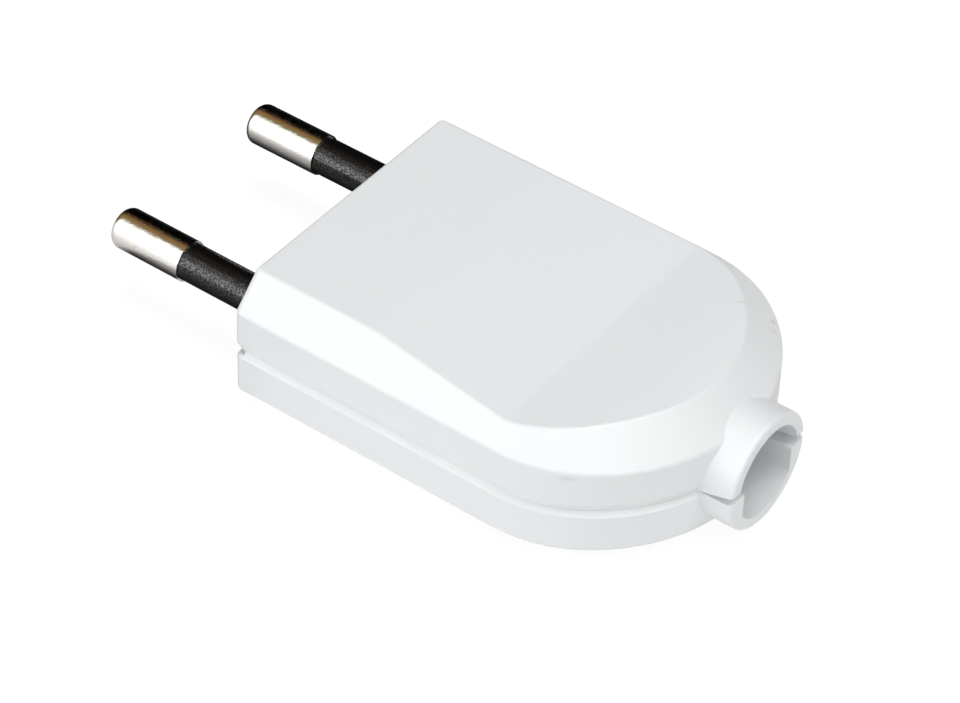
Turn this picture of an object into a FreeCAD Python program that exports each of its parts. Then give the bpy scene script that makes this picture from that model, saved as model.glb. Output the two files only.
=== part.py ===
import FreeCAD, Part
import math
import os

# Rewirable two-pole flat plug in two moulded shells, lying flat.
# Frame: origin at the centre of the engagement face, midway between the pins,
# X across the pins, Y towards the cord entry, Z up. The shells part at z = 0.

# Body outline and section
BODY_L = 42.85
BODY_H = 14.8
SIDE_MARGIN = 6.6
REAR_SPREAD = 3.0
REAR_FLATTER = 0.678
CHAMFER = 3.0
REAR_PULL = 0.45
WALL = 1.8
FRONT_WALL = 2.0
CORNER_R = 0.65
EDGE_R = 0.4
SHOULDER_R = 0.6

# Grip hollow across both broad faces
HOLLOW_START = 12.7
HOLLOW_RISE_L = 8.7
HOLLOW_TO_REAR = 6.5
HOLLOW_DEPTH = 1.12
HOLLOW_START_R = 20.0
HOLLOW_CREASE_R = 3.0
HOLLOW_END_R = 36.0

# Seam groove, one bevel in each shell, lap joint and the two pry notches
UPPER_BEVEL_H = 0.85
UPPER_BEVEL_D = 0.35
LOWER_BEVEL_H = 0.65
LOWER_BEVEL_D = 0.5
LAP_H = 1.2
LAP_T = 0.8
NOTCH_Y = 0.2
NOTCH_L = 0.7
NOTCH_H = 0.35
NOTCH_D = 0.95

# Cord collar
CORD_BORE_D = 8.8
COLLAR_WALL = 1.2
COLLAR_L = 2.25
COLLAR_GAP_L = 3.4
COLLAR_GAP_H = 0.85
LOWER_LEDGE = 0.8
RIM_R = 0.35

# Pins
PIN_PITCH = 19.2
PIN_D = 4.0
PIN_L = 18.5
PIN_TIP_R = 0.8
CORE_D = 2.6
SLEEVE_D = 3.64
SLEEVE_L = 10.5
FLANGE_D = 6.6
FLANGE_T = 1.8
BLOCK_L = 10.0
WIRE_D = 3.0
WIRE_L = 8.0
TERMINAL_Y = 6.4
TERMINAL_HEADROOM = 0.6
BLOCK_EASE = 0.4

# Screws, nuts and their seats
SCREW_D = 3.0
SCREW_POINT = 0.375
HEAD_D = 5.4
HEAD_H = 1.8
HEAD_R = 0.45
SLOT_W = 0.8
SLOT_D = 0.9
CROSS_L = 3.4
TERMINAL_SCREW_L = 3.6
CLAMP_HOLE_FLOOR = 1.4
CLAMP_TIP_GAP = 0.7
HOUSING_RECESS = 3.0
HOUSING_TIP_COVER = 3.8
HOUSING_FRONT_Y = 8.2
HOUSING_TO_CLAMP = 10.7
NUT_AF = 5.5
NUT_H = 2.4
NUT_POCKET_WALL = 1.3
RELIEF_L = 1.4

# Cord clamp
CLAMP_TO_REAR = 8.55
CLAMP_W = 5.0
CLAMP_EAR_L = 2.6
CLAMP_EAR_R = 1.25
CLAMP_TOP_T = 1.2
CLAMP_BASE_Z = 0.6
CLAMP_HEADROOM = 1.0
CLAMP_SCREW_HEADROOM = 1.1
CLAMP_POST_D = 6.4
TOOTH_H = 0.4
TOOTH_W = 0.7

# Ribs and pads moulded inside the shells
RIB_COUNT = 3
RIB_T = 1.0
RIB_DEPTH = 1.2
RIB_TO_BLOCK = 3.5
RIB_TO_REAR = 1.6
FENCE_T = 1.2
WIRE_COVER = 1.0
PAD_T = 1.2
PAD_INSET = 1.6

# Fits
FIT = 0.1
SCREW_FIT = 0.3
EPS = 0.01
RISE = 0.5

# The body, its width set by the pins and its rear end by its width
HALF_W = PIN_PITCH / 2 + SIDE_MARGIN
HALF_H = BODY_H / 2
PIN_X = PIN_PITCH / 2
SIDE_R = HALF_W - REAR_SPREAD
REAR_R = HALF_W + REAR_FLATTER
REAR_Y = BODY_L - REAR_R
SIDE_L = REAR_Y + math.sqrt((REAR_R - SIDE_R) ** 2 - REAR_SPREAD ** 2)
HOLLOW_END = BODY_L - HOLLOW_TO_REAR
HOLLOW_CREASE = HOLLOW_END - HOLLOW_RISE_L
COLLAR_D = CORD_BORE_D + 2 * COLLAR_WALL
COLLAR_Y = BODY_L + COLLAR_L

# What stands inside, its heights set by the room under the faces
ROOM_H = HALF_H - WALL
BLOCK_W = 2 * (ROOM_H - HEAD_H - TERMINAL_HEADROOM)
BLOCK_Y = FRONT_WALL + FLANGE_T + 2 * FIT
POST_D = NUT_AF / math.cos(math.radians(30)) + 2 * NUT_POCKET_WALL
CORD_D = 2 * (ROOM_H - CLAMP_TOP_T - CLAMP_HEADROOM)
CLAMP_Y = BODY_L - CLAMP_TO_REAR
CLAMP_X = CORD_D / 2 + CLAMP_TOP_T + HEAD_D / 2 + FIT
CLAMP_BAR_T = ROOM_H - HEAD_H - CLAMP_SCREW_HEADROOM - CLAMP_BASE_Z - FIT
CLAMP_SEAT_Z = CLAMP_BASE_Z + FIT + CLAMP_BAR_T
CLAMP_HOLE_Z = CLAMP_HOLE_FLOOR - HALF_H
CLAMP_SCREW_L = CLAMP_SEAT_Z - CLAMP_HOLE_Z - CLAMP_TIP_GAP
HOUSING_SEAT_Z = HOUSING_RECESS - HALF_H
HOUSING_TIP_Z = HALF_H - HOUSING_TIP_COVER
RIB_Y = BLOCK_Y + BLOCK_L + RIB_TO_BLOCK
RIB_STEP = (SIDE_L - RIB_TO_REAR - RIB_T - RIB_Y) / (RIB_COUNT - 1)
SIDES = (("left", 1), ("right", -1))
HOUSINGS = (("front", HOUSING_FRONT_Y), ("rear", CLAMP_Y - HOUSING_TO_CLAMP))


def vec(x, y, z):
    return FreeCAD.Vector(x, y, z)


def box(x0, x1, y0, y1, z0, z1):
    return Part.makeBox(x1 - x0, y1 - y0, z1 - z0, vec(x0, y0, z0))


def rod_y(x, y0, y1, diameter):
    return Part.makeCylinder(diameter / 2, y1 - y0, vec(x, y0, 0), vec(0, 1, 0))


def rod_z(x, y, z0, z1, diameter):
    return Part.makeCylinder(diameter / 2, z1 - z0, vec(x, y, z0))


def fused(solids):
    first = solids[0]
    return first.multiFuse(solids[1:]).removeSplitter()


def mirrored_down(shape):
    return shape.mirror(vec(0, 0, 0), vec(0, 0, 1))


def outline(inset, front, z, pull):
    """Plan outline at height z: eased front corners, straight sides, three arcs pulled forward."""
    turn = math.atan2(SIDE_L - REAR_Y, REAR_SPREAD)
    side_y = SIDE_L - pull
    join_x = (REAR_R - inset) * math.cos(turn)
    join_y = REAR_Y - pull + (REAR_R - inset) * math.sin(turn)
    mid_x = REAR_SPREAD + (SIDE_R - inset) * math.cos(turn / 2)
    mid_y = side_y + (SIDE_R - inset) * math.sin(turn / 2)
    rear = BODY_L - inset - pull
    x = HALF_W - inset
    r = CORNER_R
    near = r * (1 - math.sqrt(0.5))
    edges = [
        Part.makeLine(vec(r - x, front, z), vec(x - r, front, z)),
        Part.Arc(vec(x - r, front, z), vec(x - near, front + near, z), vec(x, front + r, z)).toShape(),
        Part.makeLine(vec(x, front + r, z), vec(x, side_y, z)),
        Part.Arc(vec(x, side_y, z), vec(mid_x, mid_y, z), vec(join_x, join_y, z)).toShape(),
        Part.Arc(vec(join_x, join_y, z), vec(0, rear, z), vec(-join_x, join_y, z)).toShape(),
        Part.Arc(vec(-join_x, join_y, z), vec(-mid_x, mid_y, z), vec(-x, side_y, z)).toShape(),
        Part.makeLine(vec(-x, side_y, z), vec(-x, front + r, z)),
        Part.Arc(vec(-x, front + r, z), vec(near - x, front + near, z), vec(r - x, front, z)).toShape(),
    ]
    return Part.Wire(edges)


def layer(inset0, front0, z0, inset1, front1, z1, pull=0):
    """Solid between two outlines, the upper one's rear end pulled forward."""
    return Part.makeLoft([outline(inset0, front0, z0, 0), outline(inset1, front1, z1, pull)], True, True)


def rear_pull(rise):
    """How far the rear chamfer has leant forward at this height above its foot."""
    return REAR_PULL * rise / CHAMFER


def bend(before, corner, after, radius):
    """Arc of the given radius, tangent to the two lines that meet at corner."""
    d0 = (before - corner).normalize()
    d1 = (after - corner).normalize()
    half = d0.getAngle(d1) / 2
    middle = (d0 + d1).normalize()
    reach = radius / math.tan(half)
    inner = corner + middle * (radius / math.sin(half) - radius)
    return Part.Arc(corner + d0 * reach, inner, corner + d1 * reach).toShape()


def above_broad_face(drop):
    """Everything above the broad face and its grip hollow, the face lowered by drop."""
    top = HALF_H - drop
    x = -2 * HALF_W
    front = vec(x, -BODY_L, top)
    start = vec(x, HOLLOW_START, top)
    crease = vec(x, HOLLOW_CREASE, top - HOLLOW_DEPTH)
    end = vec(x, HOLLOW_END, top)
    rear = vec(x, 2 * BODY_L, top)
    bends = [
        bend(front, start, crease, HOLLOW_START_R),
        bend(start, crease, end, HOLLOW_CREASE_R),
        bend(crease, end, rear, HOLLOW_END_R),
    ]
    edges = []
    here = front
    for arc in bends:
        edges += [Part.makeLine(here, arc.Vertexes[0].Point), arc]
        here = arc.Vertexes[-1].Point
    lift = vec(0, 0, BODY_H)
    edges.append(Part.makeLine(here, rear))
    edges.append(Part.makeLine(rear, rear + lift))
    edges.append(Part.makeLine(rear + lift, front + lift))
    edges.append(Part.makeLine(front + lift, front))
    return Part.Face(Part.Wire(edges)).extrude(vec(4 * HALF_W, 0, 0))


def outer_half(bevel_d, bevel_h):
    """Outside of one half, drawn above the seam, its seam bevel and chamfers included."""
    shoulder = HALF_H - CHAMFER
    leg = CHAMFER + RISE
    body = fused([
        layer(bevel_d, bevel_d, 0, 0, 0, bevel_h),
        layer(0, 0, bevel_h, 0, 0, shoulder),
        layer(0, 0, shoulder, leg, 0, shoulder + leg, rear_pull(leg)),
    ])
    body = body.cut(above_broad_face(0))
    runs_back = [e for e in body.Edges if e.BoundBox.YLength > EPS]
    face_rim = [e for e in runs_back if e.BoundBox.ZMin > HALF_H - HOLLOW_DEPTH - EDGE_R]
    shoulder_rim = [e for e in runs_back
                    if abs(e.BoundBox.ZMin - shoulder) < EPS and abs(e.BoundBox.ZMax - shoulder) < EPS]
    body = eased(body, face_rim, EDGE_R)
    return eased(body, shoulder_rim, SHOULDER_R)


def eased(body, edges, radius):
    """Body with the edges rounded, or left sharp at sizes where they can't be."""
    try:
        rounded = body.makeFillet(radius, edges)
    except Part.OCCError:
        return body
    return rounded if rounded.isValid() else body


def inner_half():
    """Cavity of the upper half, one wall inside the outer faces."""
    leg = CHAMFER - (2 - math.sqrt(2)) * WALL
    top = HALF_H - WALL
    shoulder = top - leg
    cavity = fused([
        layer(WALL, FRONT_WALL, -EPS, WALL, FRONT_WALL, shoulder),
        layer(WALL, FRONT_WALL, shoulder, WALL + leg + RISE, FRONT_WALL, top + RISE, rear_pull(leg + RISE)),
    ])
    return cavity.cut(above_broad_face(WALL))


def cord_bore(ledge):
    """Round cord entry, its sides brought in by a ledge along the seam."""
    bore = rod_y(0, BODY_L - 2 * WALL - 1, COLLAR_Y + 1, CORD_BORE_D)
    half = CORD_BORE_D / 2 - ledge
    return bore.common(box(-half, half, 0, 2 * BODY_L, -BODY_H, BODY_H))


def collar_half():
    """One half of the cord collar, drawn above the seam, its end rounded."""
    start = BODY_L - WALL
    tube = rod_y(0, start, COLLAR_Y, COLLAR_D)
    rim = [e for e in tube.Edges if e.BoundBox.YMin > COLLAR_Y - EPS]
    tube = tube.makeFillet(RIM_R, rim)
    return tube.common(box(-COLLAR_D, COLLAR_D, start, COLLAR_Y + 1, 0, COLLAR_D))


def collar_gap():
    """Wedge taken off the upper collar, so that its half rises from the lower one."""
    start = COLLAR_Y - COLLAR_GAP_L
    end = COLLAR_Y + RISE
    rise = COLLAR_GAP_H * (end - start) / COLLAR_GAP_L
    corners = [vec(-COLLAR_D, start, 0), vec(-COLLAR_D, end, rise), vec(-COLLAR_D, end, 0)]
    return Part.Face(Part.makePolygon(corners + corners[:1])).extrude(vec(2 * COLLAR_D, 0, 0))


def pry_notch(side):
    """Small slot in the seam beside a front corner, one half of its height."""
    x = [side * HALF_W, side * (HALF_W - NOTCH_D)]
    return box(min(x), max(x), NOTCH_Y, NOTCH_Y + NOTCH_L, -1, NOTCH_H)


def hollow_shell(outside, collar, ledge):
    """One half shell, drawn above the seam, with its collar and bare openings."""
    shell = fused([outside, collar])
    shell = shell.cut(inner_half())
    shell = shell.cut(cord_bore(ledge))
    for _, side in SIDES:
        shell = shell.cut(rod_y(side * PIN_X, -1, FRONT_WALL + 1, SLEEVE_D + 2 * FIT))
        shell = shell.cut(pry_notch(side))
    return shell


def side_ribs():
    """Stiffening ribs down both side walls, cut to the cavity's outline by the caller."""
    ribs = []
    for i in range(RIB_COUNT):
        y = RIB_Y + i * RIB_STEP
        for side in (1, -1):
            x0 = side * (HALF_W - WALL + FIT)
            x1 = side * (HALF_W - WALL - RIB_DEPTH)
            ribs.append(box(min(x0, x1), max(x0, x1), y, y + RIB_T, LAP_H + FIT, HALF_H))
    return ribs


def terminal_pads(starts):
    """Cross ribs that stop just short of each terminal block."""
    half = BLOCK_W / 2 + FIT
    return [box(side * PIN_X - half, side * PIN_X + half, y, y + PAD_T, half, HALF_H)
            for _, side in SIDES for y in starts]


def terminal_fences():
    """Walls beside and behind each terminal block, up to the seam."""
    parts = []
    rear = BLOCK_Y + BLOCK_L
    half = BLOCK_W / 2 + FIT
    over_wire = WIRE_D / 2 + WIRE_COVER
    for _, side in SIDES:
        x = side * PIN_X
        parts.append(box(x - half - FENCE_T, x - half, BLOCK_Y, rear, 0, HALF_H))
        parts.append(box(x + half, x + half + FENCE_T, BLOCK_Y, rear, 0, HALF_H))
        parts.append(box(x - half, x + half, rear + FIT, rear + FIT + FENCE_T, over_wire, HALF_H))
    return parts


def lap_ring(grow):
    """Ring standing on the seam: the lower shell's lip, or its rebate when grown."""
    ring_out = WALL - LAP_T - grow
    ring_in = WALL + (EPS if grow else 0)
    front = FRONT_WALL
    front_out = front - LAP_T - grow
    outside = layer(ring_out, front_out, -EPS, ring_out, front_out, LAP_H + grow)
    inside = layer(ring_in, front, -1, ring_in, front, LAP_H + 1)
    ring = outside.cut(inside)
    for _, side in SIDES:
        ring = ring.cut(rod_y(side * PIN_X, -1, FRONT_WALL + 1, FLANGE_D - 2 * grow))
    return ring.cut(rod_y(0, SIDE_L, COLLAR_Y + 1, COLLAR_D + WALL - 2 * grow))


def upper_shell():
    """Cover: ribs, terminal pads and the two nut posts, nothing through its top face."""
    inside = side_ribs() + terminal_pads([BLOCK_Y + FIT])
    for _, y in HOUSINGS:
        inside.append(rod_z(0, y, FIT, HALF_H, POST_D))
    cavity = inner_half()
    moulded = [piece.common(cavity) for piece in inside]
    collar = collar_half().cut(collar_gap())
    outside = outer_half(UPPER_BEVEL_D, UPPER_BEVEL_H)
    shell = fused([hollow_shell(outside, collar, 0)] + moulded)
    for _, y in HOUSINGS:
        shell = shell.cut(nut_body(0, y, -1, NUT_H + 2 * FIT, FIT))
        shell = shell.cut(rod_z(0, y, 0, HOUSING_TIP_Z + RELIEF_L, SCREW_D + SCREW_FIT))
    return shell.cut(lap_ring(FIT))


def clamp_saddle():
    """Cord saddle and its two screw posts, drawn above the seam like the rest."""
    y0 = CLAMP_Y - CLAMP_W / 2
    y1 = CLAMP_Y + CLAMP_W / 2
    saddle = box(-CLAMP_X, CLAMP_X, y0, y1, -CLAMP_BASE_Z, HALF_H)
    saddle = saddle.cut(cord_space(y0, y1))
    posts = [rod_z(side * CLAMP_X, CLAMP_Y, -CLAMP_BASE_Z, HALF_H, CLAMP_POST_D) for side in (1, -1)]
    return fused([saddle] + posts)


def cord_space(y0, y1):
    """Round passage for the cord with gripping teeth left standing across it."""
    passage = rod_y(0, y0 - 1, y1 + 1, CORD_D)
    for y in (y0 + TOOTH_W, y1 - 2 * TOOTH_W):
        tooth = rod_y(0, y, y + TOOTH_W, CORD_D + 1).cut(rod_y(0, y - 1, y + 2, CORD_D - 2 * TOOTH_H))
        passage = passage.cut(tooth)
    return passage


def lower_shell():
    """Base: lap lip, terminal beds, clamp saddle and the two housing screw posts."""
    inside = side_ribs() + terminal_fences() + [clamp_saddle()]
    inside += terminal_pads([BLOCK_Y + FIT, BLOCK_Y + BLOCK_L - PAD_INSET])
    for _, y in HOUSINGS:
        inside.append(rod_z(0, y, 0, HALF_H, HEAD_D + 2 * WALL))
    reach = CLAMP_X + CLAMP_POST_D
    above_seam = box(-reach, reach, CLAMP_Y - CLAMP_W, CLAMP_Y + CLAMP_W, -CLAMP_BASE_Z, 0)
    cavity = inner_half().fuse(above_seam)
    moulded = [piece.common(cavity) for piece in inside]
    outside = outer_half(LOWER_BEVEL_D, LOWER_BEVEL_H)
    shell = fused([hollow_shell(outside, collar_half(), LOWER_LEDGE)] + moulded)
    seat = -HOUSING_SEAT_Z
    for _, y in HOUSINGS:
        shell = shell.cut(rod_z(0, y, -1, HALF_H + 1, SCREW_D + SCREW_FIT))
        shell = shell.cut(rod_z(0, y, seat, HALF_H + 1, HEAD_D + 2 * SCREW_FIT))
    for side in (1, -1):
        shell = shell.cut(rod_z(side * CLAMP_X, CLAMP_Y, -1, -CLAMP_HOLE_Z, SCREW_D))
    shell = mirrored_down(shell)
    return fused([shell, lap_ring(0)])


def pin(side):
    """One-piece pin: bare tip, core under the sleeve and a drilled terminal block."""
    x = side * PIN_X
    tip = rod_y(x, -PIN_L, -SLEEVE_L, PIN_D)
    nose = [e for e in tip.Edges if e.BoundBox.YMax < EPS - PIN_L]
    tip = tip.makeFillet(PIN_TIP_R, nose)
    core = rod_y(x, -SLEEVE_L, BLOCK_Y, CORE_D)
    half = BLOCK_W / 2
    block = box(x - half, x + half, BLOCK_Y, BLOCK_Y + BLOCK_L, -half, half)
    long_edges = [e for e in block.Edges if e.BoundBox.YLength > BLOCK_L - EPS]
    block = block.makeFillet(BLOCK_EASE, long_edges)
    metal = fused([tip, core, block])
    rear = BLOCK_Y + BLOCK_L
    metal = metal.cut(rod_y(x, rear - WIRE_L, rear + 1, WIRE_D))
    return metal.cut(rod_z(x, BLOCK_Y + TERMINAL_Y, half - TERMINAL_SCREW_L - FIT, half + 1, SCREW_D))


def pin_sleeve(side):
    """Insulating sleeve moulded on the pin, with the flange the shells hold."""
    x = side * PIN_X
    sleeve = rod_y(x, -SLEEVE_L, BLOCK_Y, SLEEVE_D)
    flange = rod_y(x, FRONT_WALL + FIT, FRONT_WALL + FIT + FLANGE_T, FLANGE_D)
    return fused([sleeve, flange]).cut(rod_y(x, -SLEEVE_L - 1, BLOCK_Y + 1, CORE_D))


def slotted_screw(x, y, seat, length):
    """Cheese-head screw pointing down from its seat."""
    head = rod_z(x, y, seat, seat + HEAD_H, HEAD_D)
    brim = [e for e in head.Edges if e.BoundBox.ZMin > seat + EPS and e.BoundBox.ZLength < EPS]
    head = head.makeFillet(HEAD_R, brim)
    shank = rod_z(x, y, seat - length, seat, SCREW_D)
    point = [e for e in shank.Edges if e.BoundBox.ZMax < seat - length + EPS]
    shank = shank.makeChamfer(SCREW_POINT, point)
    top = seat + HEAD_H
    slot = box(x - HEAD_D, x + HEAD_D, y - SLOT_W / 2, y + SLOT_W / 2, top - SLOT_D, top + 1)
    return fused([head, shank]).cut(slot)


def cross_screw(y):
    """Housing screw standing head down, with a cross recess in its head."""
    screw = rod_z(0, y, HOUSING_SEAT_Z - HEAD_H, HOUSING_SEAT_Z, HEAD_D)
    brim = [e for e in screw.Edges if e.BoundBox.ZMax < HOUSING_SEAT_Z - EPS]
    screw = screw.makeFillet(HEAD_R, brim)
    shank = rod_z(0, y, HOUSING_SEAT_Z, HOUSING_TIP_Z, SCREW_D)
    point = [e for e in shank.Edges if e.BoundBox.ZMin > HOUSING_SEAT_Z + EPS]
    shank = shank.makeChamfer(SCREW_POINT, point)
    screw = fused([screw, shank])
    low = HOUSING_SEAT_Z - HEAD_H
    arm = CROSS_L / 2
    screw = screw.cut(box(-arm, arm, y - SLOT_W / 2, y + SLOT_W / 2, low - 1, low + SLOT_D))
    return screw.cut(box(-SLOT_W / 2, SLOT_W / 2, y - arm, y + arm, low - 1, low + SLOT_D))


def nut_body(x, y, z0, z1, grow):
    """Hexagonal prism, a flat on each X side."""
    r = (NUT_AF / 2 + grow) / math.cos(math.radians(30))
    points = []
    for i in range(7):
        a = math.radians(60 * i + 30)
        points.append(vec(x + r * math.cos(a), y + r * math.sin(a), z0))
    return Part.Face(Part.makePolygon(points)).extrude(vec(0, 0, z1 - z0))


def housing_nut(y):
    """Nut held in the cover's post, its bore at the screw's own size."""
    return nut_body(0, y, FIT, FIT + NUT_H, 0).cut(rod_z(0, y, -1, NUT_H + 1, SCREW_D))


def clamp_bar():
    """Cord clamp bar: two flat ears and a raised middle over the cord passage."""
    y0 = CLAMP_Y - CLAMP_W / 2
    y1 = CLAMP_Y + CLAMP_W / 2
    base = CLAMP_BASE_Z + FIT
    reach = CLAMP_X + CLAMP_EAR_L
    ears = box(-reach, reach, y0, y1, base, base + CLAMP_BAR_T)
    ends = [e for e in ears.Edges if e.BoundBox.ZLength > CLAMP_BAR_T - EPS]
    ears = ears.makeFillet(CLAMP_EAR_R, ends)
    middle = CORD_D / 2 + CLAMP_TOP_T
    crown = box(-middle, middle, y0, y1, base, middle)
    crown_edges = [e for e in crown.Edges
                   if e.BoundBox.YLength > CLAMP_W - EPS and e.BoundBox.ZMin > middle - EPS]
    crown = crown.makeFillet(CLAMP_TOP_T, crown_edges)
    bar = fused([ears, crown]).cut(cord_space(y0, y1))
    for side in (1, -1):
        bar = bar.cut(rod_z(side * CLAMP_X, CLAMP_Y, -1, HALF_H, SCREW_D + SCREW_FIT))
    return bar


def build():
    nodes = {
        "upper_shell": upper_shell(),
        "lower_shell": lower_shell(),
        "cord_clamp_bar": clamp_bar(),
    }
    for name, side in SIDES:
        nodes["pin_" + name] = pin(side)
        nodes["pin_sleeve_" + name] = pin_sleeve(side)
        nodes["terminal_screw_" + name] = slotted_screw(
            side * PIN_X, BLOCK_Y + TERMINAL_Y, BLOCK_W / 2, TERMINAL_SCREW_L)
        nodes["clamp_screw_" + name] = slotted_screw(
            side * CLAMP_X, CLAMP_Y, CLAMP_SEAT_Z, CLAMP_SCREW_L)
    for name, y in HOUSINGS:
        nodes["housing_screw_" + name] = cross_screw(y)
        nodes["housing_nut_" + name] = housing_nut(y)
    return nodes


os.makedirs("parts", exist_ok=True)
for node, shape in build().items():
    shape.exportStep("parts/" + node + ".step")
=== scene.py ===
import math

import bmesh
import bpy
from bpy.props import FloatProperty, FloatVectorProperty, IntProperty, PointerProperty
from mathutils import Matrix, Vector


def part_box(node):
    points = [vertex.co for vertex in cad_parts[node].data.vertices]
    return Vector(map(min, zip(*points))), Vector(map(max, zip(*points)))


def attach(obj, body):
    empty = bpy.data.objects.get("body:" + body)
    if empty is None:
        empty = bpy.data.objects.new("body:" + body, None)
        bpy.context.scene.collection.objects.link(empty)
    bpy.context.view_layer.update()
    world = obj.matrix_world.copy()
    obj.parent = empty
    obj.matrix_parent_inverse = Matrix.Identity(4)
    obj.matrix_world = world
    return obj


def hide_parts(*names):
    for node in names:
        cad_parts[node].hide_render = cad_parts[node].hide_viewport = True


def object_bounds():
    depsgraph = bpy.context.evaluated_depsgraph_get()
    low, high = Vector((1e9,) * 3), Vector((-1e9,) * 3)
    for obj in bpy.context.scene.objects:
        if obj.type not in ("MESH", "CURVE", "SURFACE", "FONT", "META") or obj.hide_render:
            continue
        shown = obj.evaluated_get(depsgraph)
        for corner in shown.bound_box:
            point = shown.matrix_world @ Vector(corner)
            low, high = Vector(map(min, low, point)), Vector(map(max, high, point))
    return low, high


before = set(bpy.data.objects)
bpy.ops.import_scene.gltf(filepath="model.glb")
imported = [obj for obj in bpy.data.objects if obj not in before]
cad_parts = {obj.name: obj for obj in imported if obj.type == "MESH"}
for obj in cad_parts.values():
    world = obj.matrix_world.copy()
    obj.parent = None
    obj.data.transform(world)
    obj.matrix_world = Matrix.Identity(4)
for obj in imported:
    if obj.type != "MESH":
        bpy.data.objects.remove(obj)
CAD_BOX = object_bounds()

bl_info = {
    "name": "Flat two-pin plug",
    "version": (1, 0, 0),
    "blender": (4, 5, 0),
    "location": "View3D > Sidebar > Plug",
    "description": "Finishes and small parts for a flat two-pin mains plug built around its packed frame",
    "category": "Object",
}

# Each screw and the way along Z that it points
SCREWS = {
    "terminal_screw_left": -1,
    "terminal_screw_right": -1,
    "clamp_screw_left": -1,
    "clamp_screw_right": -1,
    "housing_screw_front": 1,
    "housing_screw_rear": 1,
}
NUTS = ("housing_nut_front", "housing_nut_rear")
SHELLS = ("upper_shell", "lower_shell")
PINS = ("pin_left", "pin_right")
SLEEVES = ("pin_sleeve_left", "pin_sleeve_right")

# Soft lamps: name, place in metres, power in watts
LAMPS = (
    ("key", (0.55, 0.22, 0.52), 0.80),
    ("near", (0.60, -0.40, 0.28), 2.58),
    ("top", (0.0, 0.10, 0.85), 3.90),
    ("top rear", (-0.10, 0.45, 0.70), 1.74),
    ("rear", (0.36, 0.68, 0.35), 1.30),
    ("far", (-0.70, -0.10, 0.40), 0.05),
)

# Small marks on the upper shell: place in metres, turn about Z in degrees, half sizes in metres
# after that turn, and share of the full depth and of the painted shade that darkens the mark
MARKS = (
    ((0.0076, 0.0274, 0.0063), 130, (0.00050, 0.00022, 0.0005), 0.2),
    ((0.0146, 0.0344, 0.0038), 120, (0.00110, 0.00060, 0.0004), 0.4),
    ((-0.0096, 0.0353, 0.0072), 130, (0.00090, 0.00016, 0.0005), 0.6),
    ((-0.0113, 0.0376, 0.0050), 130, (0.00050, 0.00040, 0.0004), 1.0),
    ((-0.0103, 0.0384, 0.0051), 130, (0.00035, 0.00035, 0.0004), 0.5),
    ((0.0092, 0.0253, 0.0065), 0, (0.00060, 0.00060, 0.0005), 0.1),
)

# Colour of the painted shade that darkens those marks' dents
DENT_PAINTED_SHADE = (0.12, 0.11, 0.10, 1)

# Scratches of any material: the two ways they run in radians, with how much longer than wide they are,
# and the stretch of their noise that makes a line
SCRATCH_WAYS = ((0.5, 14.0), (-0.9, 9.0))
SCRATCH_EDGES = ((0.66, 0.0), (0.70, 1.0), (0.74, 0.0))

# White shell: width of its shade patches and scratches, how both change the gloss, depth of a scratch
SHELL_PATCH = 0.007
SHELL_SCRATCH = 0.004
SHELL_PATCH_TINT = (0.975, 0.98, 0.99)
SHELL_PATCH_GLOSS = 0.12
SHELL_SCRATCH_GLOSS = 0.08
SHELL_SCRATCH_DEPTH = 0.0000015

# Nickel plating: scales per metre and depths in metres of its turning rings, worn spots and dents, how the
# spots change the gloss, and the share of brass that shows along the spots' noise
RING_STRETCH = 16.0
RING_SCALE = 900.0
RING_DEPTH = 0.0000012
SPOT_SCALE = 1400.0
SPOT_GLOSS = 0.25
WORN_THROUGH = ((0.55, 0.0), (0.8, 0.35))
DENT_SCALE = 3400.0
DENT_DEPTH = 0.000024

# Black sleeve: a dull body, with a clear glossy skin where its grain is rubbed. The skin starts and ends
# this far from an edge in the rubbed noise, and the spread is how far that edge moves with its share.
SLEEVE_PATCH = 0.002
SLEEVE_PALER = 2.2
SLEEVE_ROUGHNESS = 0.24
SLEEVE_PATCH_GLOSS = 0.2
SLEEVE_IOR = 1.22
GLINT_SPREAD = 0.3
GLINT_START = 0.07
GLINT_END = 0.09
GLINT_IOR = 1.62
GLINT_ROUGHNESS = 0.2

# Zinc plated steel: width and depth of its scratches, scale of its spangle, how both change the gloss,
# and the tint of its warmer patches
STEEL_SCRATCH = 0.0012
STEEL_SCRATCH_DEPTH = 0.000002
STEEL_SCRATCH_GLOSS = 0.1
SPANGLE_SCALE = 2500.0
SPANGLE_GLOSS = 0.2
STEEL_ROUGHNESS = 0.2
WARM_TINT = (1.0, 0.97, 0.88)

# Clamp bar: its two shades, grain and gloss
CLAMP_SHADES = ((0.72, 0.72, 0.69, 1), (0.66, 0.66, 0.63, 1))
CLAMP_GRAIN = 0.0002
CLAMP_PATCH = 0.003
CLAMP_GRAIN_DEPTH = 0.000004
CLAMP_ROUGHNESS = 0.5
CLAMP_PATCH_GLOSS = 0.2

# Rows of the thread's mesh in one turn: two along the groove and two along the crest
ROWS_A_TURN = 4

# Distances in metres within which vertices of a solid's copy and of a thread are merged, and within which
# a vertex counts as lying on a plane
COPY_MERGE = 1e-6
THREAD_MERGE = 5e-7
ON_PLANE = 1e-7

# Floor: half its side and its matt white, and for the camera the strength of its white, which grows from
# the first to the second distance from the middle, in metres
FLOOR_HALF = 6.0
FLOOR_WHITE = (0.9, 0.9, 0.9, 1)
FLOOR_ROUGHNESS = 0.9
PAPER_STRENGTH = 1.1
PAPER_FROM = 0.08
PAPER_FULL = 0.2

# Painted reflection of the floor in a bright pin, with the pin's painted shadow dark under it: distance
# beside its axis in metres, brightness
PAINTED_SHADOW_BESIDE_PIN = (
    (0.0, 0.02),
    (0.002, 0.02),
    (0.005, 0.12),
    (0.009, 0.35),
    (0.0165, 0.6),
    (0.0355, 0.95),
    (0.0505, 1.2),
)
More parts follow.
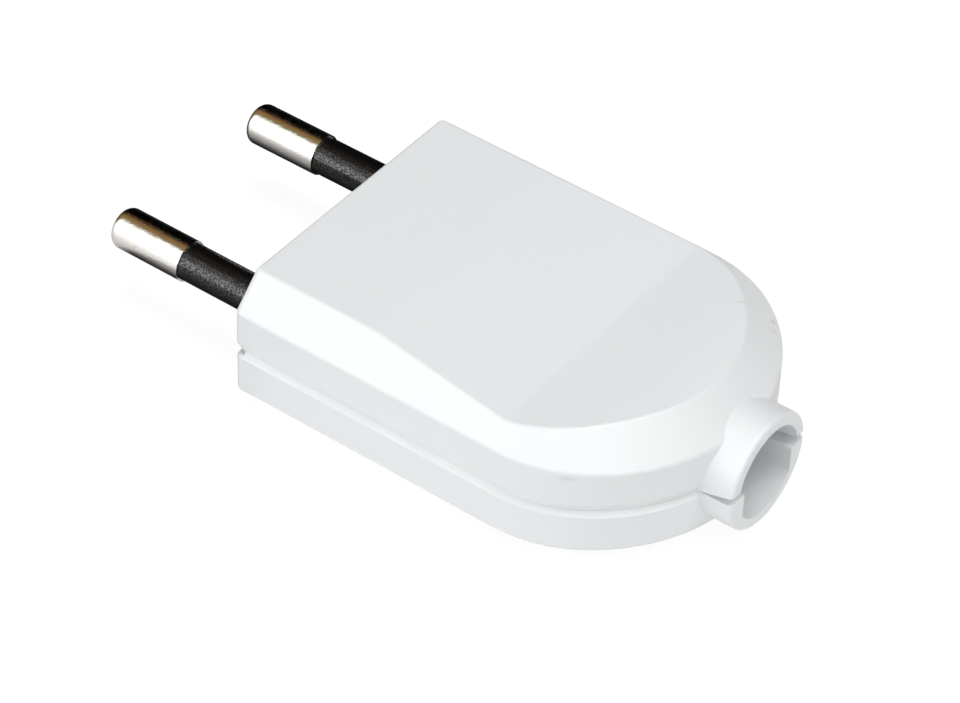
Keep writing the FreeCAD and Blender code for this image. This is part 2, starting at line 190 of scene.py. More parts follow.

# Stretches in metres over which the painted reflection beside the far pin gives way to the one beside the
# near pin: across from the near pin's axis, and along from its tip
NEAR_BLEND = (-0.0015, -0.0005)
TIP_BLEND = (-0.0035, -0.0015)

# Room as bright metal mirrors it: place across from far (0) to near (1), colour
ROOM = (
    (0.285, (0.0, 0.0, 0.0)),
    (0.31, (0.07, 0.045, 0.025)),
    (0.40, (0.20, 0.115, 0.042)),
    (0.56, (0.22, 0.15, 0.068)),
    (0.60, (0.30, 0.29, 0.22)),
    (0.615, (1.0, 1.0, 1.0)),
)
ROOM_STRENGTH = 1.5
FILL_COLOUR = (0.97, 0.985, 1.0, 1)
WHITE = (1, 1, 1, 1)

# Point that every lamp is aimed at, and the camera's sensor in millimetres and its clips in metres
LAMP_AIM = (0, 0.012, 0)
SENSOR = 36
CLIP_NEAR = 0.01
CLIP_FAR = 50


class ShellFinish(bpy.types.PropertyGroup):
    colour: FloatVectorProperty(
        name="Shell colour", description="Colour of the white moulded shells",
        subtype="COLOR", size=3, min=0, max=1, default=(0.81, 0.825, 0.83))
    roughness: FloatProperty(
        name="Shell gloss", description="Roughness of the moulded faces",
        min=0, max=1, default=0.36)
    grain_size: FloatProperty(
        name="Grain size", description="Width of the faint grain left by the mould",
        unit="LENGTH", precision=5, min=1e-5, default=0.00035)
    grain_depth: FloatProperty(
        name="Grain depth", description="Height of that grain",
        unit="LENGTH", precision=6, min=0, default=0.0000006)
    mark_depth: FloatProperty(
        name="Mark depth", description="Depth of the deepest small mark on the upper shell",
        unit="LENGTH", precision=6, min=0, default=0.00003)
    # Painted shade: how far the deepest dent darkens the plastic's colour
    mark_painted_shade: FloatProperty(
        name="Mark shade", description="How much the deepest small mark darkens the plastic",
        subtype="FACTOR", min=0, max=1, default=0.3)


class PinFinish(bpy.types.PropertyGroup):
    metal: FloatVectorProperty(
        name="Plating colour", description="Colour of the nickel plating",
        subtype="COLOR", size=3, min=0, max=1, default=(0.74, 0.72, 0.68))
    brass: FloatVectorProperty(
        name="Brass colour", description="Brass that shows where the plating is worn thin",
        subtype="COLOR", size=3, min=0, max=1, default=(0.62, 0.50, 0.30))
    roughness: FloatProperty(
        name="Plating gloss", description="Roughness of the polished plating",
        min=0, max=1, default=0.13)
    sleeve: FloatVectorProperty(
        name="Sleeve colour", description="Colour of the insulating sleeves",
        subtype="COLOR", size=3, min=0, max=1, default=(0.0025, 0.0025, 0.0027))
    sleeve_grain: FloatProperty(
        name="Sleeve grain size", description="Width of the eroded grain on the sleeves",
        unit="LENGTH", precision=5, min=1e-5, default=0.0003)
    sleeve_grain_depth: FloatProperty(
        name="Sleeve grain depth", description="Height of that grain",
        unit="LENGTH", precision=6, min=0, default=0.00005)
    sleeve_glints: FloatProperty(
        name="Sleeve glints", description="Share of the sleeves where the grain is rubbed glossy",
        subtype="FACTOR", min=0, max=1, default=0.45)


class ScrewSizes(bpy.types.PropertyGroup):
    diameter: FloatProperty(
        name="Thread diameter", description="Outside diameter of the screw threads",
        unit="LENGTH", precision=5, min=0.001, default=0.003)
    pitch: FloatProperty(
        name="Pitch", description="Rise of one turn of the thread",
        unit="LENGTH", precision=5, min=1e-4, default=0.0005)
    depth: FloatProperty(
        name="Thread depth", description="Depth of the thread's groove",
        unit="LENGTH", precision=5, min=0, default=0.00027)
    point: FloatProperty(
        name="Point", description="How far the thread's end is bevelled",
        unit="LENGTH", precision=6, min=0, default=0.000375)
    head: FloatProperty(
        name="Head height", description="Height of the screw heads, up to their seats",
        unit="LENGTH", precision=5, min=1e-4, default=0.0018)
    root: FloatProperty(
        name="Root", description="How far the thread starts inside its head",
        unit="LENGTH", precision=5, min=0, default=0.0003)
    neck: FloatProperty(
        name="Neck", description="Length left plain under the head",
        unit="LENGTH", precision=6, min=1e-5, default=0.0001)
    facets: IntProperty(
        name="Facets", description="Facets around the thread", min=12, max=96, default=36)
    colour: FloatVectorProperty(
        name="Zinc colour", description="Colour of the zinc plated steel",
        subtype="COLOR", size=3, min=0, max=1, default=(0.66, 0.66, 0.64))


class StageLook(bpy.types.PropertyGroup):
    camera_at: FloatVectorProperty(
        name="Camera place", description="Where the camera stands",
        subtype="TRANSLATION", size=3, default=(0.207309, 0.160543, 0.225986))
    camera_to: FloatVectorProperty(
        name="Camera aim", description="Point in the middle of the picture",
        subtype="TRANSLATION", size=3, default=(0.0011785, 0.0155937, -0.0020781))
    camera_roll: FloatProperty(
        name="Camera roll", description="Turn of the camera about its own axis",
        subtype="ANGLE", default=math.radians(2.333))
    lens: FloatProperty(
        name="Lens", description="Focal length in millimetres on a 36 mm sensor",
        min=10, default=144.572)
    light: FloatProperty(
        name="Light", description="Level of all the lamps together", min=0, default=0.97)
    lamp_size: FloatProperty(
        name="Lamp size", description="Side of each square soft lamp",
        unit="LENGTH", min=0.01, default=0.5)
    fill: FloatProperty(
        name="Fill", description="Strength of the even light from all round",
        min=0, default=0.05)
    paper: FloatProperty(
        name="Paper white", description="How far the floor is washed out to white for the camera",
        subtype="FACTOR", min=0, max=1, default=0.82)


class PlugLook(bpy.types.PropertyGroup):
    shell: PointerProperty(type=ShellFinish, name="Shells", description="Finish of the shells")
    pins: PointerProperty(type=PinFinish, name="Pins", description="Finish of pins and sleeves")
    screws: PointerProperty(type=ScrewSizes, name="Screws", description="Screw sizes and finish")
    stage: PointerProperty(type=StageLook, name="Stage", description="Camera and light")


def look():
    """Sizes and colours that the scene holds for this plug."""
    return bpy.context.scene.plug_look


# Node helpers


def put(tree, kind, inputs=None, **settings):
    """Add a node with its settings and inputs; an input given as a socket is linked."""
    made = tree.nodes.new(kind)
    for name, value in settings.items():
        setattr(made, name, value)
    for key, value in (inputs or {}).items():
        if isinstance(value, bpy.types.NodeSocket):
            tree.links.new(value, made.inputs[key])
        else:
            made.inputs[key].default_value = value
    return made


def maths(tree, operation, a, b=0.0, clamp=False):
    """Result of one sum on numbers or sockets."""
    return put(tree, "ShaderNodeMath", {0: a, 1: b}, operation=operation, use_clamp=clamp).outputs[0]


def carried(tree, value, start, end, low=0.0, high=1.0, curve="LINEAR"):
    """Value carried from the range start to end into the range low to high, and held beyond its ends."""
    made = put(tree, "ShaderNodeMapRange", {
        0: value, 1: start, 2: end, 3: low, 4: high}, interpolation_type=curve)
    return made.outputs[0]


def ramp(tree, value, stops):
    """Colour ramp through (place, grey or colour) stops."""
    made = put(tree, "ShaderNodeValToRGB", {0: value})
    elements = made.color_ramp.elements
    while len(elements) < len(stops):
        elements.new(0.5)
    for element, (place, colour) in zip(elements, stops):
        element.position = place
        element.color = (*colour, 1) if isinstance(colour, tuple) else (colour, colour, colour, 1)
    return made.outputs[0]


def blend_colour(tree, share, a, b):
    """Blend of two colours, which are inputs 6 and 7 and output 2 of the Mix node."""
    return put(tree, "ShaderNodeMix", {0: share, 6: a, 7: b}, data_type="RGBA").outputs[2]


def group_tree(name, inputs, outputs):
    """Empty shader node group with its sockets; each input is (name, kind, default)."""
    tree = bpy.data.node_groups.new(name, "ShaderNodeTree")
    for label, kind, default in inputs:
        socket = tree.interface.new_socket(label, in_out="INPUT", socket_type="NodeSocket" + kind)
        if default is not None:
            socket.default_value = default
    for label, kind in outputs:
        tree.interface.new_socket(label, in_out="OUTPUT", socket_type="NodeSocket" + kind)
    return tree, tree.nodes.new("NodeGroupInput").outputs, tree.nodes.new("NodeGroupOutput")


def use_group(tree, name, inputs):
    """Outputs of a shared group, placed in a material with its own values."""
    return put(tree, "ShaderNodeGroup", inputs, node_tree=bpy.data.node_groups[name]).outputs


def moulded_grain_group():
    """Grain of an eroded mould: a fine height, slow shade patches and a roughness offset."""
    tree, given, result = group_tree(
        "moulded grain",
        [("Vector", "Vector", None), ("Size", "Float", 0.0003), ("Patch size", "Float", 0.006)],
        [("Height", "Float"), ("Patches", "Float"), ("Roughness offset", "Float")])
    scale = maths(tree, "DIVIDE", 1.0, given["Size"])
    grain = put(tree, "ShaderNodeTexNoise", {
        "Vector": given["Vector"], "Scale": scale, "Detail": 2.0, "Roughness": 0.6})
    patch_scale = maths(tree, "DIVIDE", 1.0, given["Patch size"])
    patches = put(tree, "ShaderNodeTexNoise", {
        "Vector": given["Vector"], "Scale": patch_scale, "Detail": 3.0, "Roughness": 0.5})
    tree.links.new(grain.outputs[0], result.inputs["Height"])
    tree.links.new(patches.outputs[0], result.inputs["Patches"])
    centred = maths(tree, "SUBTRACT", patches.outputs[0], 0.5)
    tree.links.new(centred, result.inputs["Roughness offset"])


def handling_marks_group():
    """Fine scuffs from handling: thin scratches in two directions, sparse and faint."""
    tree, given, result = group_tree(
        "handling marks",
        [("Vector", "Vector", None), ("Size", "Float", 0.002), ("Amount", "Float", 0.5)],
        [("Scratches", "Float")])
    scale = maths(tree, "DIVIDE", 1.0, given["Size"])
    total = None
    for turn, stretch in SCRATCH_WAYS:
        turned = put(tree, "ShaderNodeVectorRotate", {
            "Vector": given["Vector"], "Angle": turn}, rotation_type="Z_AXIS")
        stretched = put(tree, "ShaderNodeVectorMath", {
            0: turned.outputs[0], 1: (1.0, stretch, stretch)}, operation="MULTIPLY")
        noise = put(tree, "ShaderNodeTexNoise", {
            "Vector": stretched.outputs[0], "Scale": scale, "Detail": 2.0})
        line = ramp(tree, noise.outputs[0], SCRATCH_EDGES)
        total = line if total is None else maths(tree, "MAXIMUM", total, line)
    tree.links.new(maths(tree, "MULTIPLY", total, given["Amount"]), result.inputs["Scratches"])


def dent_group():
    """One long or round dent: its height is 1 in the middle and 0 from its edge on."""
    tree, given, result = group_tree(
        "dent",
        [("Vector", "Vector", None), ("Place", "Vector", None),
         ("Turn", "Float", 0.0), ("Reach", "Vector", None)],
        [("Height", "Float")])
    away = put(tree, "ShaderNodeVectorMath", {
        0: given["Vector"], 1: given["Place"]}, operation="SUBTRACT")
    back = maths(tree, "MULTIPLY", given["Turn"], -1.0)
    turned = put(tree, "ShaderNodeVectorRotate", {
        "Vector": away.outputs[0], "Angle": back}, rotation_type="Z_AXIS")
    shares = put(tree, "ShaderNodeVectorMath", {
        0: turned.outputs[0], 1: given["Reach"]}, operation="DIVIDE")
    reach = put(tree, "ShaderNodeVectorMath", {0: shares.outputs[0]}, operation="LENGTH").outputs["Value"]
    height = carried(tree, reach, 0.0, 1.0, 1.0, 0.0, "SMOOTHSTEP")
    tree.links.new(height, result.inputs["Height"])


def new_material(name):
    """Material with a Principled shader; returns it, its tree, the shader and object coordinates."""
    material = bpy.data.materials.new(name)
    material.use_nodes = True
    tree = material.node_tree
    shader = tree.nodes["Principled BSDF"]
    where = tree.nodes.new("ShaderNodeTexCoord").outputs["Object"]
    return material, tree, shader, where


def dress(name, material):
    """Give a CAD node a material through its object's slots, its mesh left alone."""
    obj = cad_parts[name]
    for place in obj.material_slots:
        place.link = "OBJECT"
        place.material = material


def bump(tree, height, distance, normal=None):
    """Normal of a surface raised by a height, on top of another bump's normal where one is given."""
    made = put(tree, "ShaderNodeBump", {"Height": height, "Distance": distance, "Strength": 1.0})
    if normal is not None:
        tree.links.new(normal, made.inputs["Normal"])
    return made.outputs[0]


def shell_material():
    """White plastic: faint grain and shade patches, fine scratches, and the few marks in their places,
    their dents darkened with painted shade.
    """
    finish = look().shell
    material, tree, shader, where = new_material("white moulded shell")
    grain = use_group(tree, "moulded grain", {
        "Vector": where, "Size": finish.grain_size, "Patch size": SHELL_PATCH})
    marks = use_group(tree, "handling marks", {
        "Vector": where, "Size": SHELL_SCRATCH, "Amount": 1.0})
    base = tuple(finish.colour) + (1,)
    deeper = tuple(c * f for c, f in zip(finish.colour, SHELL_PATCH_TINT)) + (1,)
    colour = blend_colour(tree, grain["Patches"], base, deeper)
    dents = 0.0
    for place, turn, reach, share in MARKS:
        one = use_group(tree, "dent", {
            "Vector": where, "Place": place, "Turn": math.radians(turn), "Reach": reach})
        dents = maths(tree, "ADD", dents, maths(tree, "MULTIPLY", one["Height"], share))
    # Painted shade: the plastic's colour darkens with each dent's depth, in place of the shade in the dent
    shade = maths(tree, "MULTIPLY", dents, finish.mark_painted_shade, clamp=True)
    colour = blend_colour(tree, shade, colour, DENT_PAINTED_SHADE)
    tree.links.new(colour, shader.inputs["Base Color"])
    rough = maths(tree, "MULTIPLY", grain["Roughness offset"], SHELL_PATCH_GLOSS)
    rough = maths(tree, "ADD", rough, finish.roughness)
    rough = maths(tree, "ADD", rough, maths(tree, "MULTIPLY", marks["Scratches"], SHELL_SCRATCH_GLOSS))
    tree.links.new(rough, shader.inputs["Roughness"])
    surface = bump(tree, grain["Height"], finish.grain_depth)
    surface = bump(tree, marks["Scratches"], -SHELL_SCRATCH_DEPTH, surface)
    surface = bump(tree, dents, -finish.mark_depth, surface)
    tree.links.new(surface, shader.inputs["Normal"])
    return material


def nickel_material():
    """Polished nickel on brass: rings left by turning, small dents, and spots where brass shows."""
    finish = look().pins
    material, tree, shader, where = new_material("nickel plated pin")
    turned = put(tree, "ShaderNodeVectorMath", {
        0: where, 1: (1.0, RING_STRETCH, 1.0)}, operation="MULTIPLY")
    rings = put(tree, "ShaderNodeTexNoise", {
        "Vector": turned.outputs[0], "Scale": RING_SCALE, "Detail": 3.0, "Roughness": 0.6})
    spots = put(tree, "ShaderNodeTexNoise", {"Vector": where, "Scale": SPOT_SCALE, "Detail": 4.0})
    worn = ramp(tree, spots.outputs[0], WORN_THROUGH)
    colour = blend_colour(tree, worn, tuple(finish.metal) + (1,), tuple(finish.brass) + (1,))
    tree.links.new(colour, shader.inputs["Base Color"])
    shader.inputs["Metallic"].default_value = 1.0
    rough = maths(tree, "MULTIPLY", maths(tree, "SUBTRACT", spots.outputs[0], 0.5), SPOT_GLOSS)
    tree.links.new(maths(tree, "ADD", rough, finish.roughness), shader.inputs["Roughness"])
    dents = put(tree, "ShaderNodeTexNoise", {
        "Vector": where, "Scale": DENT_SCALE, "Detail": 3.0, "Roughness": 0.65})
    surface = bump(tree, dents.outputs[0], DENT_DEPTH)
    surface = bump(tree, rings.outputs[0], RING_DEPTH, surface)
    tree.links.new(surface, shader.inputs["Normal"])
    return material


def sleeve_material():
    """Black plastic with the coarse grain of an eroded mould, glossy where it is rubbed."""
    finish = look().pins
    material, tree, shader, where = new_material("black sleeve")
    grain = use_group(tree, "moulded grain", {
        "Vector": where, "Size": finish.sleeve_grain, "Patch size": SLEEVE_PATCH})
    base = tuple(finish.sleeve) + (1,)
    paler = tuple(c * SLEEVE_PALER for c in finish.sleeve) + (1,)
    tree.links.new(blend_colour(tree, grain["Patches"], base, paler), shader.inputs["Base Color"])
    rough = maths(tree, "MULTIPLY", grain["Roughness offset"], SLEEVE_PATCH_GLOSS)
    rough = maths(tree, "ADD", rough, SLEEVE_ROUGHNESS)
    tree.links.new(rough, shader.inputs["Roughness"])
    shader.inputs["IOR"].default_value = SLEEVE_IOR
    rubbed = put(tree, "ShaderNodeTexNoise", {
        "Vector": where, "Scale": 2 / finish.sleeve_grain, "Detail": 4.0, "Roughness": 0.7})
    edge = 0.5 + (0.5 - finish.sleeve_glints) * GLINT_SPREAD
    glints = ramp(tree, rubbed.outputs[0], [(edge - GLINT_START, 0.0), (edge + GLINT_END, 1.0)])
    tree.links.new(glints, shader.inputs["Coat Weight"])
    shader.inputs["Coat IOR"].default_value = GLINT_IOR
    shader.inputs["Coat Roughness"].default_value = GLINT_ROUGHNESS
    tree.links.new(bump(tree, grain["Height"], finish.sleeve_grain_depth), shader.inputs["Normal"])
    return material


def steel_material():
    """Zinc plated steel: a fine spangle, a little yellow in places, and scratches."""
    finish = look().screws
    material, tree, shader, where = new_material("zinc plated steel")
    marks = use_group(tree, "handling marks", {
        "Vector": where, "Size": STEEL_SCRATCH, "Amount": 1.0})
    spangle = put(tree, "ShaderNodeTexNoise", {"Vector": where, "Scale": SPANGLE_SCALE, "Detail": 3.0})
    base = tuple(finish.colour) + (1,)
    warm = tuple(c * f for c, f in zip(finish.colour, WARM_TINT)) + (1,)
    tree.links.new(blend_colour(tree, spangle.outputs[0], base, warm), shader.inputs["Base Color"])
    shader.inputs["Metallic"].default_value = 1.0
    rough = maths(tree, "MULTIPLY", spangle.outputs[0], SPANGLE_GLOSS)
    rough = maths(tree, "ADD", rough, STEEL_ROUGHNESS)
    rough = maths(tree, "ADD", rough, maths(tree, "MULTIPLY", marks["Scratches"], STEEL_SCRATCH_GLOSS))
    tree.links.new(rough, shader.inputs["Roughness"])
    tree.links.new(bump(tree, marks["Scratches"], -STEEL_SCRATCH_DEPTH), shader.inputs["Normal"])
    return material


def clamp_material():
    """Off-white plastic of the clamp bar, duller than the shells."""
    material, tree, shader, where = new_material("moulded clamp bar")
    grain = use_group(tree, "moulded grain", {
        "Vector": where, "Size": CLAMP_GRAIN, "Patch size": CLAMP_PATCH})
    colour = blend_colour(tree, grain["Patches"], *CLAMP_SHADES)
    tree.links.new(colour, shader.inputs["Base Color"])
    rough = maths(tree, "MULTIPLY", grain["Roughness offset"], CLAMP_PATCH_GLOSS)
    rough = maths(tree, "ADD", rough, CLAMP_ROUGHNESS)
    tree.links.new(rough, shader.inputs["Roughness"])
    tree.links.new(bump(tree, grain["Height"], CLAMP_GRAIN_DEPTH), shader.inputs["Normal"])
    return material


def thread_tree():
    """Node tree for a threaded shank along +Z: rows that follow the helix, its end bevelled."""
    tree = bpy.data.node_groups.new("threaded shank", "GeometryNodeTree")
    sizes = [(label, "Float") for label in ("Diameter", "Length", "Pitch", "Depth", "Point")]
    for label, kind in sizes + [("Facets", "Int"), ("Material", "Material")]:
        tree.interface.new_socket(label, in_out="INPUT", socket_type="NodeSocket" + kind)
    tree.interface.new_socket("Mesh", in_out="OUTPUT", socket_type="NodeSocketGeometry")
    given = tree.nodes.new("NodeGroupInput").outputs
    radius = maths(tree, "MULTIPLY", given["Diameter"], 0.5)
    core = maths(tree, "SUBTRACT", radius, given["Depth"])
    end = maths(tree, "SUBTRACT", radius, given["Point"])

    # A grid with one turn more than the length needs, its first turn starting below the foot
    turns = maths(tree, "CEIL", maths(tree, "DIVIDE", given["Length"], given["Pitch"]))
    rows = maths(tree, "ADD", maths(tree, "MULTIPLY", maths(tree, "ADD", turns, 1.0), ROWS_A_TURN), 1.0)
    grid = put(tree, "GeometryNodeMeshGrid", {
        "Vertices X": maths(tree, "ADD", given["Facets"], 1.0), "Vertices Y": rows})

    # Height of each vertex: its row and its share of the way around, held between foot and end
    index = tree.nodes.new("GeometryNodeInputIndex").outputs[0]
    row = maths(tree, "MODULO", index, rows)
    column = maths(tree, "FLOOR", maths(tree, "DIVIDE", index, rows))
    around = maths(tree, "DIVIDE", column, given["Facets"])
    turn = maths(tree, "ADD", maths(tree, "DIVIDE", row, ROWS_A_TURN), around)
    turn = maths(tree, "SUBTRACT", turn, 1.0)
    rise = maths(tree, "MULTIPLY", turn, given["Pitch"])
    height = maths(tree, "MINIMUM", maths(tree, "MAXIMUM", rise, 0.0), given["Length"])

    # Its distance from the axis: groove or crest, the groove's at the foot, and bevelled at the end
    in_groove = maths(tree, "LESS_THAN", maths(tree, "MODULO", row, ROWS_A_TURN), ROWS_A_TURN / 2 - 0.5)
    below = maths(tree, "LESS_THAN", height, ON_PLANE)
    cut = maths(tree, "MAXIMUM", in_groove, below)
    reach = maths(tree, "SUBTRACT", radius, maths(tree, "MULTIPLY", cut, given["Depth"]))
    bevel = maths(tree, "ADD", end, maths(tree, "SUBTRACT", given["Length"], height))
    reach = maths(tree, "MINIMUM", reach, bevel)
    angle = maths(tree, "MULTIPLY", around, math.tau)
    place = put(tree, "ShaderNodeCombineXYZ", {
        0: maths(tree, "MULTIPLY", reach, maths(tree, "COSINE", angle)),
        1: maths(tree, "MULTIPLY", reach, maths(tree, "SINE", angle)), 2: height})
    wall = put(tree, "GeometryNodeSetPosition", {
        "Geometry": grid.outputs[0], "Position": place.outputs[0]})

    # The two discs that close it
    foot = put(tree, "GeometryNodeMeshCircle", {
        "Vertices": given["Facets"], "Radius": core}, fill_type="NGON")
    tip = put(tree, "GeometryNodeMeshCircle", {
        "Vertices": given["Facets"], "Radius": end}, fill_type="NGON")
    lift = put(tree, "ShaderNodeCombineXYZ", {2: given["Length"]})
    tip = put(tree, "GeometryNodeTransform", {
        "Geometry": tip.outputs[0], "Translation": lift.outputs[0]})
    whole = tree.nodes.new("GeometryNodeJoinGeometry")
    for piece in (wall, foot, tip):
        tree.links.new(piece.outputs[0], whole.inputs[0])
    closed = put(tree, "GeometryNodeMergeByDistance", {
        "Geometry": whole.outputs[0], "Distance": THREAD_MERGE})
    real = put(tree, "GeometryNodeRealizeInstances", {"Geometry": closed.outputs[0]})
    made = put(tree, "GeometryNodeSetMaterial", {
        "Geometry": real.outputs[0], "Material": given["Material"]})
    put(tree, "NodeGroupOutput", {"Mesh": made.outputs[0]})
    return tree


def grown(tree, values):
    """Mesh that a node tree makes with these named values."""
    carrier = bpy.data.objects.new("carrier", bpy.data.meshes.new("carrier"))
    bpy.context.scene.collection.objects.link(carrier)
    modifier = carrier.modifiers.new("grown", "NODES")
    modifier.node_group = tree
    for socket in tree.interface.items_tree:
        if socket.in_out == "INPUT":
            modifier[socket.identifier] = values[socket.name]
    seen = carrier.evaluated_get(bpy.context.evaluated_depsgraph_get())
    mesh = bpy.data.meshes.new_from_object(seen)
    carrier.modifiers.remove(modifier)
    bpy.data.objects.remove(carrier)
    return mesh


def head_mesh(name, seat, way):
    """Head of a screw, cut from a merged copy of its solid and capped just past its seat."""
    head = bmesh.new()
    head.from_mesh(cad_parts[name].data)
    bmesh.ops.remove_doubles(head, verts=head.verts, dist=COPY_MERGE)
    cut = bmesh.ops.bisect_plane(
        head, geom=head.verts[:] + head.edges[:] + head.faces[:], dist=ON_PLANE,
        plane_co=(0, 0, seat + way * look().screws.neck), plane_no=(0, 0, way), clear_outer=True)
    rim = [part for part in cut["geom_cut"] if isinstance(part, bmesh.types.BMEdge)]
    bmesh.ops.edgeloop_fill(head, edges=rim)
    return head


def threaded_screw(name, way, tree, material):
    """Screw in place of its plain solid: the solid's own head on a threaded shank."""
    sizes = look().screws
    low, high = (Vector(corner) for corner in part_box(name))
    axis = (low + high) / 2
    seat, tip = (high.z - sizes.head, low.z) if way < 0 else (low.z + sizes.head, high.z)
    root = seat - way * sizes.root
    shank = grown(tree, {
        "Diameter": sizes.diameter, "Length": abs(tip - root), "Pitch": sizes.pitch, "Depth": sizes.depth,
        "Point": sizes.point, "Facets": sizes.facets, "Material": material})
    turned = Matrix.Rotation(math.pi, 4, "X") if way < 0 else Matrix.Identity(4)
    shank.transform(Matrix.Translation((axis.x, axis.y, root)) @ turned)
    whole = head_mesh(name, seat, way)
    whole.from_mesh(shank)
    bmesh.ops.recalc_face_normals(whole, faces=whole.faces)
    for face in whole.faces:
        face.material_index = 0
        face.smooth = False
    mesh = bpy.data.meshes.new("threaded_" + name)
    whole.to_mesh(mesh)
    whole.free()
    bpy.data.meshes.remove(shank)
    mesh.materials.append(material)
    piece = bpy.data.objects.new("threaded_" + name, mesh)
    bpy.context.scene.collection.objects.link(piece)
    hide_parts(name)
    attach(piece, "root")


class PLUG_OT_dress_shells(bpy.types.Operator):
    """Give both moulded shells their white finish"""
    bl_idname = "plug.dress_shells"
    bl_label = "Dress the shells"

    def execute(self, context):
        material = shell_material()
        for name in SHELLS:
            dress(name, material)
        return {"FINISHED"}


class PLUG_OT_dress_pins(bpy.types.Operator):
    """Give the pins their plating and the sleeves their grained black finish"""
    bl_idname = "plug.dress_pins"
    bl_label = "Dress the pins"

    def execute(self, context):
        metal = nickel_material()
        for name in PINS:
            dress(name, metal)
        black = sleeve_material()
        for name in SLEEVES:
            dress(name, black)
        return {"FINISHED"}


class PLUG_OT_make_fasteners(bpy.types.Operator):
    """Thread the screws and give them, the nuts and the clamp bar their finishes"""
    bl_idname = "plug.make_fasteners"
    bl_label = "Make the fasteners"

    def execute(self, context):
        steel = steel_material()
        tree = thread_tree()
        for name, way in SCREWS.items():
            threaded_screw(name, way, tree, steel)
        for name in NUTS:
            dress(name, steel)
        dress("cord_clamp_bar", clamp_material())
        return {"FINISHED"}


def painted_shadow_beside_pin(tree, across, axis):
    """Painted brightness of the floor in one pin's reflection: a painted shadow dark under the pin, paler
    away from it.
    """
    low, high = PAINTED_SHADOW_BESIDE_PIN[0][0], PAINTED_SHADOW_BESIDE_PIN[-1][0]
    share = carried(tree, across, axis + low, axis + high)
    return ramp(tree, share, [((x - low) / (high - low), tone) for x, tone in PAINTED_SHADOW_BESIDE_PIN])


def painted_floor_reflection(tree, where):
    """Painted reflection of the floor as the pins mirror it, with each pin's painted shadow; rays that
    reach past the near pin's tip come from the far one.
    """
    place = put(tree, "ShaderNodeSeparateXYZ", {0: where}).outputs
    near, far = ((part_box(name)[0][0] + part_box(name)[1][0]) / 2 for name in PINS)
    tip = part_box(PINS[0])[0][1]
    under = carried(tree, place[0], near + NEAR_BLEND[0], near + NEAR_BLEND[1])
    short = carried(tree, place[1], tip + TIP_BLEND[0], tip + TIP_BLEND[1])
    return blend_colour(tree, maths(tree, "MULTIPLY", under, short),
                        painted_shadow_beside_pin(tree, place[0], far), painted_shadow_beside_pin(tree, place[0], near))


def floor_material(stage):
    """White floor that keeps the object's shadow and reads as white paper to the camera; in front of the
    plug, glossy rays see a painted reflection with the pins' painted shadows.
    """
    material, tree, shader, where = new_material("white floor")
    shader.inputs["Base Color"].default_value = FLOOR_WHITE
    shader.inputs["Roughness"].default_value = FLOOR_ROUGHNESS
    shader.inputs["Specular IOR Level"].default_value = 0.0
    paths = tree.nodes.new("ShaderNodeLightPath")
    paper = put(tree, "ShaderNodeEmission", {"Color": WHITE, "Strength": PAPER_STRENGTH})
    away = put(tree, "ShaderNodeVectorMath", {0: where}, operation="LENGTH").outputs["Value"]
    washed = carried(tree, away, PAPER_FROM, PAPER_FULL, stage.paper, 1.0)
    seen = put(tree, "ShaderNodeMixShader", {
        0: maths(tree, "MULTIPLY", paths.outputs["Is Camera Ray"], washed),
        1: shader.outputs[0], 2: paper.outputs[0]})
    # Painted reflection: glossy rays in front of the plug see a glowing floor with painted shadows beside
    # the pins, not its lit shading
    painted_reflection = put(tree, "ShaderNodeEmission", {"Color": painted_floor_reflection(tree, where), "Strength": 1.0})
    in_front = maths(tree, "LESS_THAN", put(tree, "ShaderNodeSeparateXYZ", {0: where}).outputs[1], 0.0)
    seen = put(tree, "ShaderNodeMixShader", {
        0: maths(tree, "MULTIPLY", paths.outputs["Is Glossy Ray"], in_front),
        1: seen.outputs[0], 2: painted_reflection.outputs[0]})
    tree.links.new(seen.outputs[0], tree.nodes["Material Output"].inputs["Surface"])
    return material


def studio_world(fill):
    """Even fill for matt faces, white to the camera, and a bright near side in reflections."""
    world = bpy.data.worlds.new("studio")
    world.use_nodes = True
    tree = world.node_tree
    out = tree.nodes["World Output"]
    paths = tree.nodes.new("ShaderNodeLightPath")
    way = tree.nodes.new("ShaderNodeTexCoord").outputs["Generated"]
    across = put(tree, "ShaderNodeSeparateXYZ", {0: way}).outputs[0]
    side = carried(tree, across, -1.0, 1.0)
    even = put(tree, "ShaderNodeBackground", {"Color": FILL_COLOUR, "Strength": fill})
    room = ramp(tree, side, ROOM)
    mirror = put(tree, "ShaderNodeBackground", {"Color": room, "Strength": ROOM_STRENGTH})
    white = put(tree, "ShaderNodeBackground", {"Color": WHITE, "Strength": 1.0})
    lit = put(tree, "ShaderNodeMixShader", {
        0: paths.outputs["Is Glossy Ray"], 1: even.outputs[0], 2: mirror.outputs[0]})
    seen = put(tree, "ShaderNodeMixShader", {
        0: paths.outputs["Is Camera Ray"], 1: lit.outputs[0], 2: white.outputs[0]})
    tree.links.new(seen.outputs[0], out.inputs["Surface"])
    bpy.context.scene.world = world


def soft_lamp(name, place, size, power):
    """Square soft lamp aimed at the middle of the plug."""
    lamp = bpy.data.lights.new(name, "AREA")
    lamp.shape = "SQUARE"
    lamp.size = size
    lamp.energy = power
    obj = bpy.data.objects.new(name, lamp)
    obj.location = place
    aim = Vector(LAMP_AIM) - obj.location
    obj.rotation_euler = aim.to_track_quat("-Z", "Y").to_euler()
    bpy.context.scene.collection.objects.link(obj)


def lay_floor(stage):
    """Square floor at the foot of the plug."""
    ground = CAD_BOX[0][2]
    half = FLOOR_HALF
    corners = [(-half, -half, ground), (half, -half, ground), (half, half, ground), (-half, half, ground)]
    mesh = bpy.data.meshes.new("floor")
    mesh.from_pydata(corners, [], [(0, 1, 2, 3)])
    floor = bpy.data.objects.new("floor", mesh)
    mesh.materials.append(floor_material(stage))
    bpy.context.scene.collection.objects.link(floor)


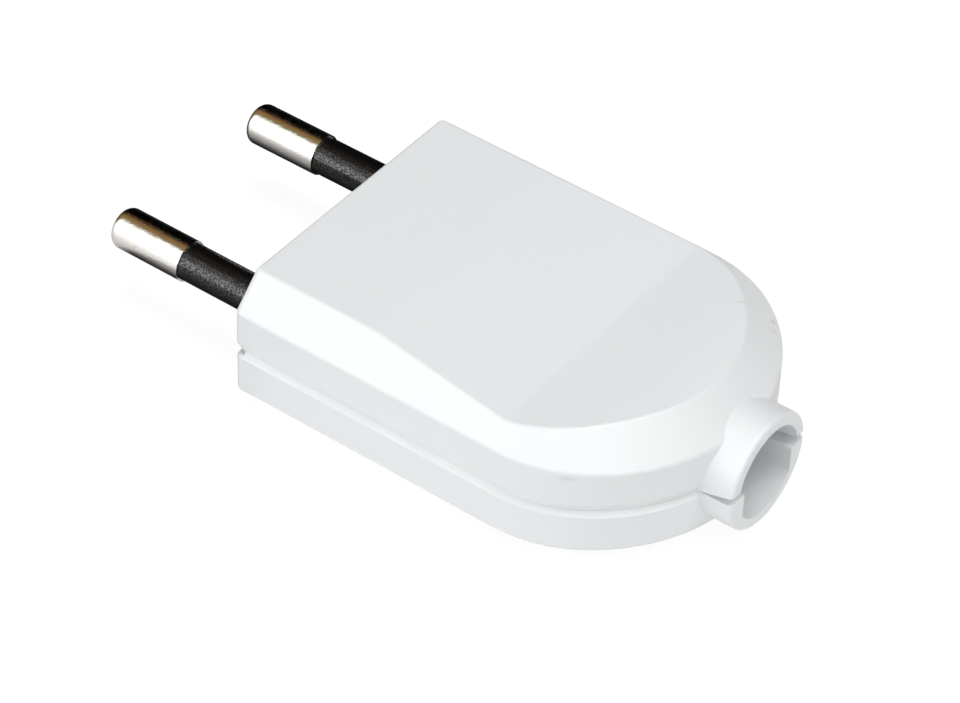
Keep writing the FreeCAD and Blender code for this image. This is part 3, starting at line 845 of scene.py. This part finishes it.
def stand_camera(stage):
    """Camera at its place, aimed and rolled as the stage's values say."""
    camera = bpy.data.cameras.new("camera")
    camera.sensor_width = SENSOR
    camera.lens = stage.lens
    camera.clip_start = CLIP_NEAR
    camera.clip_end = CLIP_FAR
    obj = bpy.data.objects.new("camera", camera)
    at = Vector(stage.camera_at)
    aim = (Vector(stage.camera_to) - at).to_track_quat("-Z", "Y").to_matrix().to_4x4()
    obj.matrix_world = Matrix.Translation(at) @ aim @ Matrix.Rotation(stage.camera_roll, 4, "Z")
    bpy.context.scene.collection.objects.link(obj)
    bpy.context.scene.camera = obj


class PLUG_OT_set_stage(bpy.types.Operator):
    """Lay the floor, hang the lamps and stand the camera"""
    bl_idname = "plug.set_stage"
    bl_label = "Set the stage"

    def execute(self, context):
        stage = look().stage
        lay_floor(stage)
        for name, place, power in LAMPS:
            soft_lamp(name, place, stage.lamp_size, power * stage.light)
        studio_world(stage.fill)
        stand_camera(stage)
        context.scene.view_settings.view_transform = "Standard"
        return {"FINISHED"}


OPERATORS = (PLUG_OT_dress_shells, PLUG_OT_dress_pins, PLUG_OT_make_fasteners, PLUG_OT_set_stage)


class PLUG_PT_sidebar(bpy.types.Panel):
    """Lists the steps that build the plug's looks"""
    bl_label = "Flat plug"
    bl_idname = "PLUG_PT_sidebar"
    bl_space_type = "VIEW_3D"
    bl_region_type = "UI"
    bl_category = "Plug"

    def draw(self, context):
        column = self.layout.column(align=True)
        for operator in OPERATORS:
            column.operator(operator.bl_idname)


CLASSES = (ShellFinish, PinFinish, ScrewSizes, StageLook, PlugLook) + OPERATORS + (PLUG_PT_sidebar,)


def register():
    for cls in CLASSES:
        bpy.utils.register_class(cls)
    bpy.types.Scene.plug_look = PointerProperty(type=PlugLook)


def unregister():
    del bpy.types.Scene.plug_look
    for cls in reversed(CLASSES):
        bpy.utils.unregister_class(cls)


def main():
    register()
    moulded_grain_group()
    handling_marks_group()
    dent_group()
    bpy.ops.plug.dress_shells()
    bpy.ops.plug.dress_pins()
    bpy.ops.plug.make_fasteners()
    bpy.ops.plug.set_stage()


if __name__ == "__main__":
    main()
